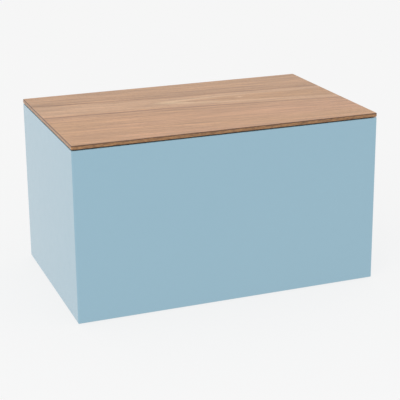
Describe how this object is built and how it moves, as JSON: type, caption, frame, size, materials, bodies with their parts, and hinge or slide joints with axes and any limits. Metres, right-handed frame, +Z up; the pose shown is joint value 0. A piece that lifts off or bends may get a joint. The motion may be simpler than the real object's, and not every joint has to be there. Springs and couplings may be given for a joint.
{
  "type": "dough box",
  "caption": "Straight-sided wooden dough box: mitred lacquered walls, a flush oak lid on butt hinges at the back, slotted lid stays inside and low rubber feet.",
  "frame": {"origin": "on the floor, in the middle of the footprint with the hinge knuckles counted in", "axes": "+X along the length to the right, +Y to the back where the hinges are, +Z up"},
  "size_m": [0.64, 0.4045, 0.36],
  "materials": {
    "lacquer": "smooth satin pale blue lacquer on board",
    "oak": "satin oiled oak with long grain and open pores",
    "plywood": "sanded birch plywood",
    "steel": "zinc-plated, fine brushed",
    "rubber": "matt moulded rubber"
  },
  "bodies": {
    "carcass": {"front_panel": "lacquer", "back_panel": "lacquer", "left_end_panel": "lacquer", "right_end_panel": "lacquer", "corner_tongues": "plywood", "bottom_panel": "plywood", "corner_blocks": "plywood", "feet": "rubber", "foot_screws": "steel", "lid_bumpers": "rubber", "hinge_wall_leaf_left": "steel", "hinge_wall_leaf_right": "steel", "hinge_pin_left": "steel", "hinge_pin_right": "steel", "hinge_wall_screws": "steel", "stay_stud_left": "steel", "stay_stud_right": "steel"},
    "lid": {"lid_board": "oak", "lid_batten_left": "oak", "lid_batten_right": "oak", "batten_screws": "steel", "hinge_lid_leaf_left": "steel", "hinge_lid_leaf_right": "steel", "hinge_lid_screws": "steel", "stay_pivot_left": "steel", "stay_pivot_right": "steel"},
    "stay_left": {"stay_arm_left": "steel"},
    "stay_right": {"stay_arm_right": "steel"}
  },
  "joints": [
    {"name": "lid_hinge", "type": "hinge", "parent": "carcass", "child": "lid", "pos_m": [0, 0.20015, 0.3511], "axis": [-1, 0, 0], "range_deg": [0, 100]},
    {"name": "stay_left_pivot", "type": "hinge", "parent": "lid", "child": "stay_left", "pos_m": [-0.3037, 0.08071, 0.3395], "axis": [-1, 0, 0], "range_deg": [-50, 0]},
    {"name": "stay_right_pivot", "type": "hinge", "parent": "lid", "child": "stay_right", "pos_m": [0.3037, 0.08071, 0.3395], "axis": [-1, 0, 0], "range_deg": [-50, 0]}
  ],
  "couplings": [
    {"joint": "stay_left_pivot", "follows": "lid_hinge", "ratio": -0.5},
    {"joint": "stay_right_pivot", "follows": "lid_hinge", "ratio": -0.5}
  ]
}
